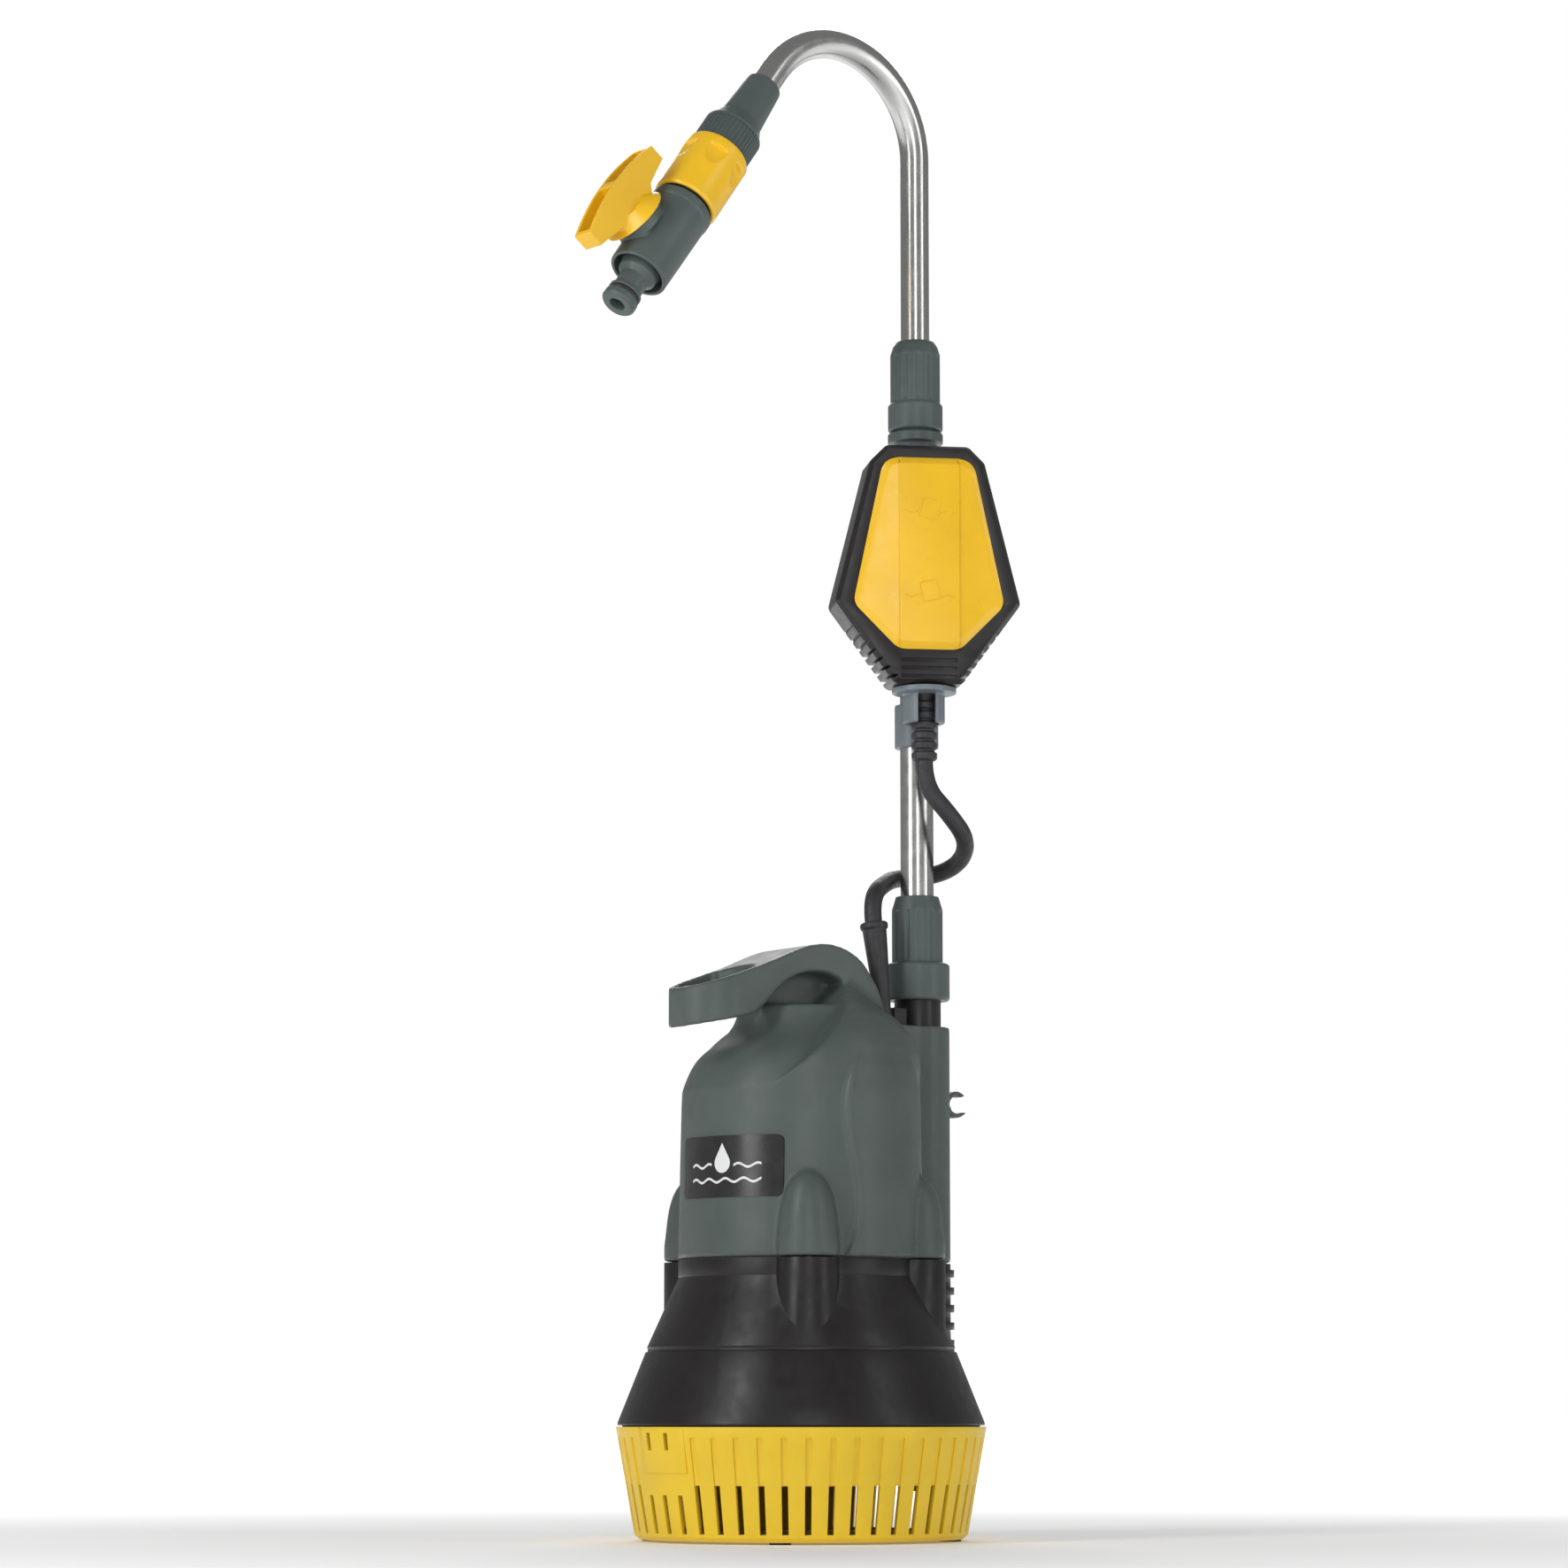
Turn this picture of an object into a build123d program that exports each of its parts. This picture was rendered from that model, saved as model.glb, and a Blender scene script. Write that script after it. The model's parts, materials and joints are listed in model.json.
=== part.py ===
"""Submersible rain-barrel pump with a telescopic spout, a tap and a float switch.

Millimetres, +Z up. The origin is on the floor under the motor axis. The pump's
front, where the handle loop and the spout point, is -Y. The riser is behind, +Y.
"""
from build123d import *
import math
import os

os.makedirs("parts", exist_ok=True)

# ---- driving dimensions -----------------------------------------------------
floor_gap = 1.0              # the pads lift the strainer off the floor
strainer_top = 52.8
strainer_r_low = 77.5
strainer_r_high = 86.8
strainer_wall = 2.2
slot_count = 48
slot_width = 3.0
slot_low, slot_mid, slot_high = 4.2, 26.6, 48.0
latch_angle, latch_span = 6.2, 20.5
latch_low = 32.0

skirt_low = 53.4
skirt_top = 129.8
deck_low, deck_top = 84.0, 88.0
chamber_r, chamber_wall, chamber_low = 41.5, 3.0, 60.5

shell_low, shell_top = 130.3, 243.0
shell_r_low, shell_r_high = 57.9, 56.2
shell_wall = 3.0
boss_r, boss_ring = 14.5, 54.8
boss_angles = (58.0, -58.0, 130.0, -130.0)      # from the front

shaft_r = 4.0
can_r, can_wall = 39.5, 1.2

riser_y = 68.9               # the riser's axis behind the motor axis
channel_r, channel_bore = 15.3, 8.5
lower_tube_r, upper_tube_r = 8.0, 7.0
lower_tube_bore, upper_tube_bore = 7.35, 6.2
fit = 0.05                   # radial play of a running fit

bend_r, bend_turn, bend_z = 50.0, 143.8, 672.0
spout_heading = 5.0          # from the front, towards +X
cable_r = 4.25


def heading(angle):
    """Unit vector in plan, at an angle from the front towards +X."""
    turn = math.radians(angle)
    return Vector(math.sin(turn), -math.cos(turn), 0)


def turning_plane(origin, axis, out):
    """A plane whose y runs along an axis and whose x points out from it."""
    return Plane(origin=origin, x_dir=out, z_dir=Vector(*out).cross(Vector(*axis)))


def turned(plane, outline):
    """A solid of revolution about a plane's y, from (radius, height) points."""
    with BuildPart() as piece:
        with BuildSketch(plane):
            with BuildLine():
                Polyline(*outline, close=True)
            make_face()
        revolve(axis=Axis(plane.origin, plane.y_dir))
    return piece.part


def write(piece, name):
    """Label a finished piece and write its STEP file."""
    piece.part.label = name
    export_step(piece.part, f"parts/{name}.step")


def turned_piece(name, plane, outline):
    """A piece that is nothing but a turned solid."""
    body = turned(plane, outline)
    with BuildPart() as piece:
        add(body)
    write(piece, name)


def ring(plane, inner, outer, low, high):
    """A plain ring about a plane's y."""
    return turned(plane, [(inner, low), (outer, low), (outer, high), (inner, high)])


motor = turning_plane((0, 0, 0), (0, 0, 1), (1, 0, 0))
riser = turning_plane((0, riser_y, 0), (0, 0, 1), (1, 0, 0))
spout_dir = heading(spout_heading)
turn = math.radians(bend_turn)
bend_end_out = bend_r - bend_r * math.cos(turn)
bend_end_up = bend_z + bend_r * math.sin(turn)
bend_end = Vector(0, riser_y, bend_end_up) + spout_dir * bend_end_out
spout_axis = spout_dir * math.sin(turn) + Vector(0, 0, math.cos(turn))
spout_out = spout_dir * -math.cos(turn) + Vector(0, 0, math.sin(turn))
spout = turning_plane(bend_end, spout_axis, spout_out)


def ring_places(radius, z, angles):
    """Places on a circle about the motor axis, x pointing outwards."""
    return [
        Location(heading(a) * radius + Vector(0, 0, z), (0, 0, a - 90))
        for a in angles
    ]


# ---- strainer base and its pads ---------------------------------------------
strainer_slope = (strainer_r_high - strainer_r_low) / (strainer_top - floor_gap)
strainer_tilt = math.degrees(math.atan(strainer_slope))


def strainer_r(z):
    """Outer radius of the strainer at a height."""
    return strainer_r_low + (z - floor_gap) * strainer_slope


strainer_floor = floor_gap + strainer_wall
slot_pitch = 360 / slot_count
slot_start = 4.6
slot_angles = [slot_start + slot_pitch * i for i in range(slot_count)]
latch_places = (latch_angle, latch_angle + 180)


def under_latch(angle):
    """True for a slot that lies below one of the two latch panels."""
    return any(
        abs((angle - place + 180) % 360 - 180) < latch_span / 2 + 2
        for place in latch_places
    )


long_slots = [a for a in slot_angles if not under_latch(a)]
short_slots = [a for a in slot_angles if under_latch(a)]
short_slot_top = 22.0
latch_proud = 0.8
pad_ring, pad_r, pad_pin_r = 70.0, 5.0, 1.8
pad_angles = (47.0, 137.0, 227.0, 317.0)
strainer_cup = turned(motor, [
    (0, floor_gap),
    (strainer_r_low - 2.0, floor_gap),
    (strainer_r(3.0), 3.0),
    (strainer_r_high, strainer_top),
    (strainer_r_high - strainer_wall, strainer_top),
    (strainer_r(strainer_floor) - strainer_wall, strainer_floor),
    (0, strainer_floor),
])


def slot_cuts(angles, low, high, depth, shift):
    """Places and box size for slots that follow the leaning wall."""
    middle = (low + high) / 2
    places = ring_places(strainer_r(middle) + shift, middle, angles)
    return places, (depth, slot_width, high - low)


with BuildPart() as strainer_base:
    add(strainer_cup)
    for place in latch_places:
        start = heading(place - latch_span / 2)
        with BuildSketch(turning_plane((0, 0, 0), (0, 0, 1), start)):
            with BuildLine():
                Polyline(
                    (strainer_r(latch_low) - 0.5, latch_low),
                    (strainer_r(latch_low) + latch_proud, latch_low),
                    (strainer_r(strainer_top) + 0.1, strainer_top),
                    (strainer_r(strainer_top) - 0.5, strainer_top),
                    close=True,
                )
            make_face()
        revolve(axis=Axis.Z, revolution_arc=latch_span)
    for angles, low, high, depth, shift in (
        (long_slots, slot_low, slot_mid, 8.0, 0.0),
        (short_slots, slot_low, short_slot_top, 8.0, 0.0),
        (long_slots, slot_mid, slot_high, 1.6, 0.0),
    ):
        places, size = slot_cuts(angles, low, high, depth, shift)
        with Locations(*places):
            Box(*size, rotation=(0, strainer_tilt, 0), mode=Mode.SUBTRACT)
    latch_slots = [p + side for p in latch_places for side in (-5.7, 2.6)]
    with Locations(*ring_places(strainer_r(46.2), 46.2, latch_slots)):
        Box(8.0, 2.6, 8.0, rotation=(0, strainer_tilt, 0), mode=Mode.SUBTRACT)
    with Locations(*ring_places(pad_ring, floor_gap, pad_angles), Location((0, 0, floor_gap))):
        Cylinder(pad_pin_r, 4 * strainer_wall, mode=Mode.SUBTRACT)
write(strainer_base, "strainer_base")

with BuildPart() as foot_pads:
    with Locations(*ring_places(pad_ring, 0, pad_angles), Location((0, 0, 0))):
        Cylinder(pad_r, floor_gap, align=(Align.CENTER, Align.CENTER, Align.MIN))
        Cylinder(pad_pin_r, strainer_floor, align=(Align.CENTER, Align.CENTER, Align.MIN))
write(foot_pads, "foot_pads")

# ---- lower housing: skirt, pump chamber, duct to the riser channel ----------
chamber_out = chamber_r + chamber_wall
seal_seat_r = 9.5
skirt = turned(motor, [
    (80.2, 45.0), (82.6, 45.0), (83.8, skirt_low), (86.0, skirt_low), (86.0, 54.5),
    (73.0, 87.2), (72.0, 87.6), (72.0, 89.0), (72.3, 89.5), (57.6, 122.0),
    (57.8, 122.3), (57.8, skirt_top), (55.3, skirt_top), (55.3, 122.0),
    (69.6, deck_top), (seal_seat_r, deck_top), (seal_seat_r, deck_low),
    (chamber_r, deck_low), (chamber_r, chamber_low), (chamber_out, chamber_low),
    (chamber_out, deck_low), (71.6, deck_low), (82.6, 56.3), (80.9, skirt_low),
])
duct_start = Vector(0, 38.0, 73.0)
duct_end = Vector(0, riser_y, 104.0)
duct_run = duct_end - duct_start
duct_plane = Plane(origin=duct_start, x_dir=(1, 0, 0), z_dir=duct_run)
duct_bore, duct_wall = 7.0, 2.5
screw_r, screw_head_r = 2.2, 4.6
screw_seat = 112.0
screw_end = 152.0
rib_pitch, rib_count = 8.3, 5
cover_screw_r, cover_screw_ring = 1.2, 43.0
cover_screw_angles = (45.0, 135.0, 225.0, 315.0)

with BuildPart() as lower_housing:
    add(skirt)
    with Locations((0, riser_y, deck_top + 0.4)):
        Cylinder(channel_r, skirt_top - deck_top - 0.4, align=(Align.CENTER, Align.CENTER, Align.MIN))
    for level in range(rib_count):
        with Locations((0, riser_y, 92.0 + rib_pitch * level)):
            Cylinder(channel_r + 1.7, 3.4)
    with Locations(*ring_places(boss_ring, deck_low, boss_angles)):
        Cylinder(boss_r, skirt_top - deck_low, align=(Align.CENTER, Align.CENTER, Align.MIN))
    with BuildSketch(duct_plane):
        Circle(duct_bore + duct_wall)
    extrude(amount=duct_run.length)
    with BuildSketch(duct_plane):
        Circle(duct_bore)
    extrude(amount=duct_run.length, mode=Mode.SUBTRACT)
    with Locations((0, 0, chamber_low)):
        Cylinder(chamber_r, deck_low - chamber_low, mode=Mode.SUBTRACT,
                 align=(Align.CENTER, Align.CENTER, Align.MIN))
    with Locations((0, riser_y, 100.0)):
        Cylinder(channel_bore, skirt_top, mode=Mode.SUBTRACT,
                 align=(Align.CENTER, Align.CENTER, Align.MIN))
    with Locations(*ring_places(boss_ring, deck_low - 1, boss_angles)):
        Cylinder(screw_head_r, screw_seat - deck_low + 1, mode=Mode.SUBTRACT,
                 align=(Align.CENTER, Align.CENTER, Align.MIN))
        Cylinder(screw_r, skirt_top, mode=Mode.SUBTRACT,
                 align=(Align.CENTER, Align.CENTER, Align.MIN))
    with Locations(*ring_places(cover_screw_ring, chamber_low, cover_screw_angles)):
        Cylinder(cover_screw_r, 16.0, mode=Mode.SUBTRACT)
write(lower_housing, "lower_housing")

with BuildPart() as housing_seal:
    with BuildSketch(Plane.XY.offset(skirt_top)):
        Circle(57.3)
        with Locations((0, riser_y)):
            Circle(channel_r - 2.0)
        Circle(55.3, mode=Mode.SUBTRACT)
        with Locations((0, riser_y)):
            Circle(channel_bore, mode=Mode.SUBTRACT)
        with Locations(*[heading(a) * boss_ring for a in boss_angles]):
            Circle(screw_r, mode=Mode.SUBTRACT)
    extrude(amount=shell_low - skirt_top)
write(housing_seal, "housing_seal")

screw_places = ring_places(boss_ring, screw_seat, boss_angles)
with BuildPart() as housing_screws:
    with Locations(*screw_places):
        Cylinder(screw_r - 0.1, screw_end - screw_seat, align=(Align.CENTER, Align.CENTER, Align.MIN))
        Cylinder(screw_head_r - 0.4, 3.2, align=(Align.CENTER, Align.CENTER, Align.MAX))
write(housing_screws, "housing_screws")

# ---- pump chamber cover ------------------------------------------------------
cover_top, cover_low, inlet_r = 60.0, 57.5, 14.0
cover_disc = turned(motor, [
    (inlet_r, 52.0), (inlet_r + 2.0, 52.0), (inlet_r + 2.0, cover_low),
    (chamber_out, cover_low), (chamber_out, cover_top), (inlet_r, cover_top),
])
with BuildPart() as volute_cover:
    add(cover_disc)
    with Locations(*ring_places(cover_screw_ring, cover_low, cover_screw_angles)):
        Cylinder(cover_screw_r, 8.0, mode=Mode.SUBTRACT)
write(volute_cover, "volute_cover")

gasket_ring = ring(motor, chamber_r, chamber_out, cover_top, chamber_low)
with BuildPart() as volute_gasket:
    add(gasket_ring)
    with Locations(*ring_places(cover_screw_ring, cover_top, cover_screw_angles)):
        Cylinder(cover_screw_r, 4.0, mode=Mode.SUBTRACT)
write(volute_gasket, "volute_gasket")

with BuildPart() as volute_screws:
    with Locations(*ring_places(cover_screw_ring, cover_low, cover_screw_angles)):
        Cylinder(cover_screw_r, 10.0, align=(Align.CENTER, Align.CENTER, Align.MIN))
        Cylinder(2.2, 1.6, align=(Align.CENTER, Align.CENTER, Align.MAX))
write(volute_screws, "volute_screws")

# ---- impeller, shaft and motor ----------------------------------------------
blade_count = 6
with BuildPart() as impeller:
    with BuildSketch(Plane.XY.offset(66.0)):
        Circle(8.0)
    extrude(amount=16.0)
    with BuildSketch(Plane.XY.offset(78.0)):
        Circle(36.0)
    extrude(amount=2.5)
    with BuildSketch(Plane.XY.offset(64.5)):
        with PolarLocations(0, blade_count):
            with BuildLine():
                RadiusArc((12.0, 0.0), (33.0, 10.0), -30.0)
                offset(amount=1.0)
            make_face()
    extrude(amount=14.0)
    Cylinder(shaft_r, 400.0, mode=Mode.SUBTRACT)
write(impeller, "impeller")

with BuildPart() as impeller_nut:
    with BuildSketch(Plane.XY.offset(62.5)):
        RegularPolygon(6.4, 6)
        Circle(shaft_r, mode=Mode.SUBTRACT)
    extrude(amount=3.5)
write(impeller_nut, "impeller_nut")

turned_piece("motor_shaft", motor, [(0, 61.5), (shaft_r, 61.5), (shaft_r, 196.0), (0, 196.0)])
shaft_fit = shaft_r + fit
turned_piece("shaft_seal", motor, [
    (shaft_fit, deck_low), (seal_seat_r, deck_low), (seal_seat_r, deck_top), (shaft_fit, deck_top),
])
bearing_r = 11.0
turned_piece("motor_end_plate", motor, [
    (4.8, 88.3), (can_r, 88.3), (can_r, 92.0), (13.5, 92.0), (13.5, 99.0),
    (bearing_r, 99.0), (bearing_r, 91.0), (4.8, 91.0),
])
turned_piece("lower_bearing", motor, [
    (shaft_fit, 91.0), (bearing_r, 91.0), (bearing_r, 98.0), (shaft_fit, 98.0),
])
turned_piece("upper_bearing", motor, [
    (shaft_fit, 186.0), (bearing_r, 186.0), (bearing_r, 193.0), (shaft_fit, 193.0),
])
turned_piece("motor_can", motor, [
    (can_r - can_wall, 92.0), (can_r, 92.0), (can_r, 200.0), (0, 200.0), (0, 198.5),
    (bearing_r, 198.5), (bearing_r, 185.0), (13.0, 185.0), (13.0, 198.5), (can_r - can_wall, 198.5),
])
stack_low, stack_top = 115.0, 165.0
with BuildPart() as stator_core:
    with BuildSketch(Plane.XY.offset(stack_low)):
        Circle(can_r - can_wall)
        Circle(22.0, mode=Mode.SUBTRACT)
        with PolarLocations(27.5, 12):
            Rectangle(9.0, 5.0, mode=Mode.SUBTRACT)
    extrude(amount=stack_top - stack_low)
write(stator_core, "stator_core")

end_turns = [
    ring(motor, 25.0, 37.0, stack_low - 12.0, stack_low),
    ring(motor, 25.0, 37.0, stack_top, stack_top + 12.0),
]
with BuildPart() as motor_windings:
    add(end_turns)
write(motor_windings, "motor_windings")
turned_piece("rotor_core", motor, [
    (shaft_r, stack_low - 2), (21.5, stack_low - 2), (21.5, stack_top + 2), (shaft_r, stack_top + 2),
])
with BuildPart() as capacitor:
    with BuildSketch(Plane.YZ.offset(-18.0)):
        with Locations((0, 214.0)):
            Circle(12.0)
    extrude(amount=36.0)
write(capacitor, "capacitor")

# ---- green motor shell -------------------------------------------------------
neck_r, neck_top, shoulder_low = 30.0, 249.0, 209.0
shoulder = [
    (shell_r_high, shoulder_low), (54.0, 215.3), (48.9, 224.3), (36.2, 235.3), (31.0, shell_top),
    (neck_r, neck_top),
]
with BuildPart() as front_body:
    with BuildSketch(motor):
        with BuildLine():
            Polyline((neck_r, neck_top), (0, neck_top), (0, shell_low), (shell_r_low, shell_low),
                     (shell_r_high, shoulder_low))
            Spline(*shoulder)
        make_face()
    revolve(axis=Axis.Z)

crease_slope = 0.95
crease = Plane(origin=(0, -47.0, 205.0), x_dir=(1, 0, 0), z_dir=(0, -crease_slope, 1))
with BuildPart() as rear_body:
    with BuildSketch(motor):
        with BuildLine():
            Polyline((45.0, shell_top), (0, shell_top), (0, shell_low), (shell_r_low, shell_low),
                     (shell_r_high, 215.0))
            Spline((shell_r_high, 215.0), (53.6, 233.0), (45.0, shell_top))
        make_face()
    revolve(axis=Axis.Z)
    split(bisect_by=crease, keep=Keep.BOTTOM)

handle_half, handle_tip = 21.0, -50.0
with BuildPart() as handle:
    with BuildSketch(Plane.YZ):
        with BuildLine():
            Spline((37.0, 238.0), (34.0, 251.0), (27.5, 264.0), (14.0, 275.5), (-4.0, 278.0),
                   (-26.8, 270.3), (-46.0, 263.3), (-71.5, 255.0))
            Line((-71.5, 255.0), (-70.0, 237.0))
            Spline((-70.0, 237.0), (-51.8, 240.7), (-37.0, 246.0), (-24.3, 257.8), (-1.5, 264.6),
                   (12.5, 258.0), (15.0, 246.0), (10.0, 238.0))
            Line((10.0, 238.0), (37.0, 238.0))
        make_face()
    extrude(amount=handle_half, both=True)
    with BuildSketch(Plane.XY.offset(200.0)):
        with Locations((0, 10.0)):
            Rectangle(2 * handle_half, 2 * (10.0 - handle_tip))
        with Locations((0, handle_tip)):
            Circle(handle_half)
    extrude(amount=100.0, mode=Mode.INTERSECT)
    with BuildSketch(Plane.XY.offset(200.0)):
        with Locations((0, handle_tip)):
            Circle(handle_half - 3.0)
        with Locations((0, handle_tip + 6.0)):
            Rectangle(2 * handle_half - 6.0, 12.0)
    extrude(amount=100.0, mode=Mode.SUBTRACT)

with BuildPart() as strap_foot:
    with BuildSketch(Plane.YZ):
        Polygon((-10.0, 238.0), (-10.0, 240.15), (12.8, 261.8), (20.0, 266.0), (27.5, 264.0),
                (34.0, 251.0), (37.0, 238.0), align=None)
    extrude(amount=46.0, both=True)
    with BuildSketch(motor):
        with BuildLine():
            Polyline((21.0, 267.0), (0, 267.0), (0, 238.0), (50.0, 238.0))
            Spline((50.0, 238.0), (44.5, 244.5), (34.0, 252.0), (25.5, 260.0), (21.0, 267.0))
        make_face()
    revolve(axis=Axis.Z, mode=Mode.INTERSECT)

with BuildPart() as side_bulge:
    with BuildSketch(Plane(origin=(0, 0, 0), x_dir=heading(192.0), z_dir=heading(102.0))):
        with BuildLine():
            Spline((-27.0, shell_low), (-22.0, 172.0), (-25.0, 205.0), (-15.0, 226.0), (0, 232.0),
                   (15.0, 226.0), (25.0, 205.0), (22.0, 172.0), (27.0, shell_low))
            Line((27.0, shell_low), (-27.0, shell_low))
        make_face()
    extrude(amount=80.0)
    with BuildSketch(motor):
        with BuildLine():
            Polyline((40.0, shell_low), (shell_r_low + 2.6, shell_low), (shell_r_high + 2.8, 208.0),
                     (58.0, 219.0), (55.6, 229.0), (52.0, 236.0), (40.0, 236.0), close=True)
        make_face()
    revolve(axis=Axis.Z, mode=Mode.INTERSECT)

boss_top, boss_straight = 171.0, 138.0
boss_height = boss_top - boss_straight
with BuildPart() as shell_boss:
    with BuildSketch(motor):
        with BuildLine():
            Polyline((0, boss_top), (0, shell_low), (boss_r, shell_low), (boss_r, boss_straight))
            Spline((boss_r, boss_straight), (boss_r * 0.8, boss_straight + 0.6 * boss_height),
                   (boss_r * 0.45, boss_straight + 0.893 * boss_height), (0, boss_top))
        make_face()
    revolve(axis=Axis.Z)

web_wide = 14.0
gland_at, gland_r = (-11.0, 50.0), 4.8
clip_y, clip_z, clip_r, clip_wall = 90.0, 206.8, 4.3, 2.2
hollow = turned(motor, [
    (0, 120.0), (54.9, 120.0), (shell_r_high - shell_wall, 206.0), (50.5, 214.0), (45.5, 222.0),
    (33.0, 231.5), (20.0, 236.0), (0, 236.0),
])
with BuildPart() as upper_shell:
    add(front_body.part)
    add(rear_body.part)
    add(handle.part)
    add(strap_foot.part)
    with Locations((0, -8.0, 251.0)):
        Box(web_wide, 48.0, 32.0)
    add(side_bulge.part)
    add(mirror(side_bulge.part, about=Plane.YZ))
    with Locations(*ring_places(boss_ring, 0, boss_angles)):
        add(shell_boss.part)
    with Locations((0, riser_y, shell_low)):
        Cylinder(channel_r, shell_top - shell_low, align=(Align.CENTER, Align.CENTER, Align.MIN))
    with Locations((0, 57.0, shell_low)):
        Box(26.0, 28.0, shell_top - shell_low, align=(Align.CENTER, Align.CENTER, Align.MIN))
    with BuildSketch(Plane.YZ.offset(-4.0)):
        with Locations((clip_y, clip_z)):
            Circle(clip_r + clip_wall)
            Circle(clip_r, mode=Mode.SUBTRACT)
        with Locations((clip_y + clip_r + 2.0, clip_z)):
            Rectangle(2 * clip_r, 2 * clip_r - 1.4, mode=Mode.SUBTRACT)
    extrude(amount=8.0)
    add(hollow, mode=Mode.SUBTRACT)
    with Locations(*ring_places(boss_ring, shell_low, boss_angles)):
        Cylinder(6.0, screw_end - shell_low + 4.0, align=(Align.CENTER, Align.CENTER, Align.MIN))
    with Locations((*gland_at, 233.0)):
        Cylinder(gland_r + 1.6, shell_top - 233.0, align=(Align.CENTER, Align.CENTER, Align.MIN))
    with Locations((0, riser_y, shell_low)):
        Cylinder(channel_bore, shell_top, mode=Mode.SUBTRACT,
                 align=(Align.CENTER, Align.CENTER, Align.MIN))
    with Locations((0, riser_y, 234.0)):
        Cylinder(11.2, shell_top, mode=Mode.SUBTRACT,
                 align=(Align.CENTER, Align.CENTER, Align.MIN))
    with Locations(*ring_places(boss_ring, shell_low, boss_angles)):
        Cylinder(screw_r, screw_end - shell_low + 2.0, mode=Mode.SUBTRACT,
                 align=(Align.CENTER, Align.CENTER, Align.MIN))
write(upper_shell, "upper_shell")

# ---- label plate -------------------------------------------------------------
label_angle, label_z, label_wide, label_high = 15.5, 172.1, 63.0, 28.4
label_face = Plane(origin=(0, 0, label_z), x_dir=heading(label_angle + 90), z_dir=heading(label_angle))
label_skin = turned(motor, [
    (57.25, label_z - 20), (57.9, label_z - 20), (57.4, label_z + 20), (56.75, label_z + 20),
])
label_chord = 2 * 57.0 * math.sin(label_wide / (2 * 57.0))
with BuildPart() as label_plate:
    with BuildSketch(label_face):
        RectangleRounded(label_chord, label_high, 3.0)
    extrude(amount=70.0)
    add(label_skin, mode=Mode.INTERSECT)
    add(upper_shell.part, mode=Mode.SUBTRACT)
write(label_plate, "label_plate")

# ---- riser: stub, lower nut, lower tube, upper socket, upper nut -------------
stub_r, stub_low, stub_top = 11.2, 236.0, 278.0
stub_body = turned(riser, [
    (lower_tube_r, 238.0), (lower_tube_r, stub_top), (10.0, stub_top), (10.0, 274.0), (stub_r, 272.0),
    (stub_r, stub_low), (channel_bore, stub_low), (channel_bore - 1.2, stub_low),
    (channel_bore - 1.2, 238.0),
])
with BuildPart() as discharge_stub:
    add(stub_body)
    with Locations((0, riser_y - stub_r - 2.5, shell_top)):
        Box(9.0, 7.0, 9.0, align=(Align.CENTER, Align.CENTER, Align.MIN))
write(discharge_stub, "discharge_stub")

flute_count = 12


def clamp_nut(name, low, collar_top, top, collar_r, body_r, thread_r, tube_r):
    """A clamp nut: smooth collar, fluted body, rounded shoulder to the tube."""
    body = turned(riser, [
        (thread_r, low), (collar_r - 0.8, low), (collar_r, low + 0.8), (collar_r, collar_top - 1.0),
        (collar_r - 1.0, collar_top), (body_r, collar_top), (body_r, top - 6.5),
        (body_r - 1.2, top - 2.5), (tube_r + 2.4, top), (tube_r + 0.3, top), (tube_r + 0.3, top - 8.0),
        (thread_r, top - 12.0),
    ])
    with BuildPart() as nut:
        add(body)
        with Locations((0, riser_y, (collar_top + 1.0 + top - 7.0) / 2)):
            with PolarLocations(body_r + 1.3, flute_count):
                Cylinder(1.9, top - 8.0 - collar_top, mode=Mode.SUBTRACT)
    write(nut, name)


clamp_nut("lower_clamp_nut", 256.0, 274.0, 306.5, 15.5, 12.3, stub_r + fit, lower_tube_r)
turned_piece("lower_tube_seal", riser, [
    (lower_tube_r, stub_top + 0.4), (10.6, stub_top + 0.4), (10.6, 283.0), (lower_tube_r, 283.0),
])
turned_piece("lower_collet", riser, [
    (lower_tube_r, 283.3), (10.6, 283.3), (10.6, 291.0), (9.0, 293.0), (lower_tube_r, 293.0),
])
turned_piece("lower_tube", riser, [
    (lower_tube_bore, 238.5), (lower_tube_r, 238.5), (lower_tube_r, 524.0), (lower_tube_bore, 524.0),
])
socket_top = 553.0
socket_thread_r = 10.9
turned_piece("upper_socket", riser, [
    (lower_tube_r, 511.0), (9.6, 511.0), (9.6, 522.0), (10.5, 523.0), (10.5, 529.5),
    (13.5, 530.0), (13.5, 534.5), (socket_thread_r, 535.0), (socket_thread_r, socket_top),
    (upper_tube_r + 0.3, socket_top), (upper_tube_r + 0.3, 524.0), (lower_tube_r, 524.0),
])
clamp_nut("upper_clamp_nut", 535.8, 549.7, 580.7, 13.4, 12.2, socket_thread_r + fit, upper_tube_r)
turned_piece("upper_tube_seal", riser, [
    (upper_tube_r + fit, socket_top + 0.4), (10.4, socket_top + 0.4), (10.4, 557.5),
    (upper_tube_r + fit, 557.5),
])
turned_piece("upper_tube_collet", riser, [
    (upper_tube_r + fit, 557.9), (10.4, 557.9), (10.4, 565.0), (9.0, 567.0), (upper_tube_r + fit, 567.0),
])

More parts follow.
